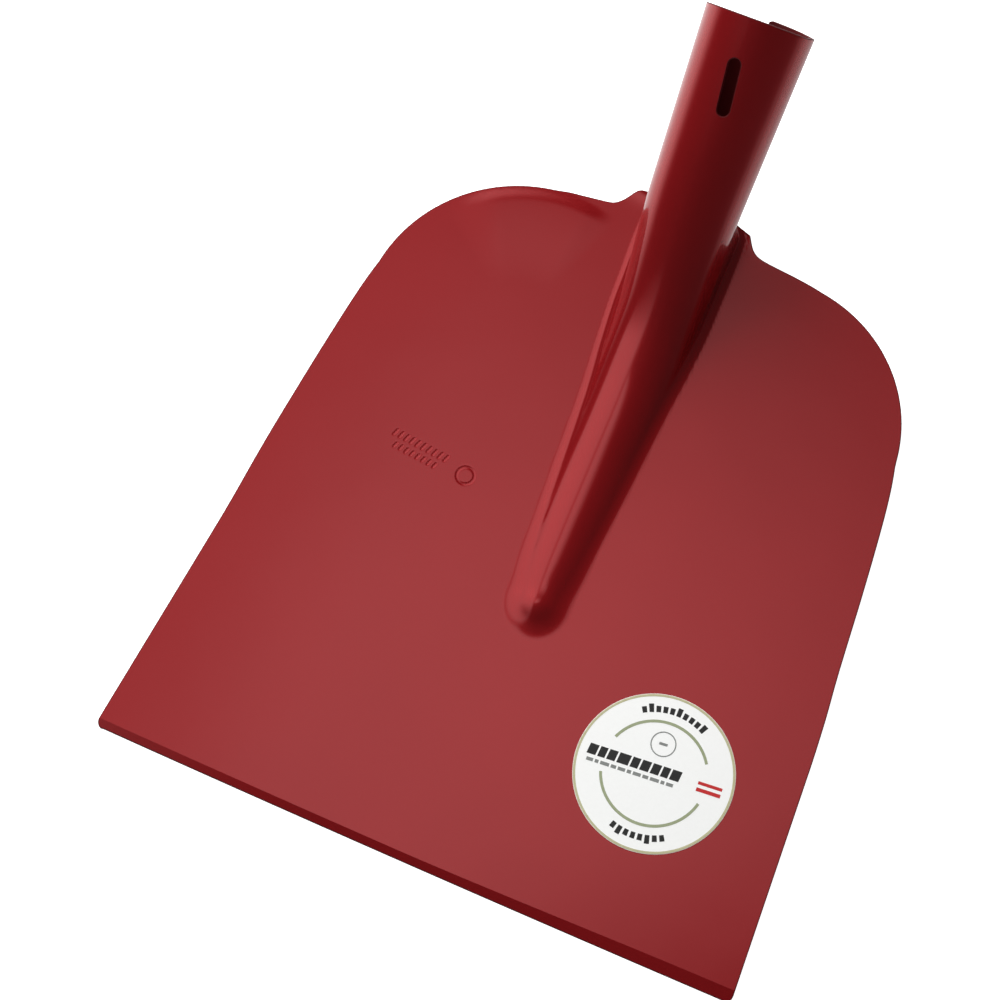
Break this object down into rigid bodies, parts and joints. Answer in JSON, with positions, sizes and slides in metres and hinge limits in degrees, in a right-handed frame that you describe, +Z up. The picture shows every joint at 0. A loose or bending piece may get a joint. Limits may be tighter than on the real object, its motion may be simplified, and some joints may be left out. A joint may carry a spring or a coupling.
{
  "type": "sand shovel head",
  "caption": "Square-mouth shovel head pressed from red lacquered steel sheet, with a stiffening rib, rounded shoulders and a raised tapered handle socket.",
  "frame": {"origin": "middle of the underside of the whole head, on the plane that the flat blade rests on", "axes": "+Z up from the blade's face, +Y from the front edge to the handle socket, +X to the right seen from above with the socket away from the viewer"},
  "size_m": [0.255, 0.346, 0.0852],
  "materials": {
    "red_lacquer": "glossy red stoving lacquer over pressed steel",
    "label_paper": "semi-gloss printed white label"
  },
  "bodies": {
    "root": {"blade_pan": "red_lacquer", "blade_rib": "red_lacquer", "socket_neck": "red_lacquer", "socket_tube": "red_lacquer", "socket_seam_weld": "red_lacquer", "round_label": "label_paper"}
  },
  "joints": []
}
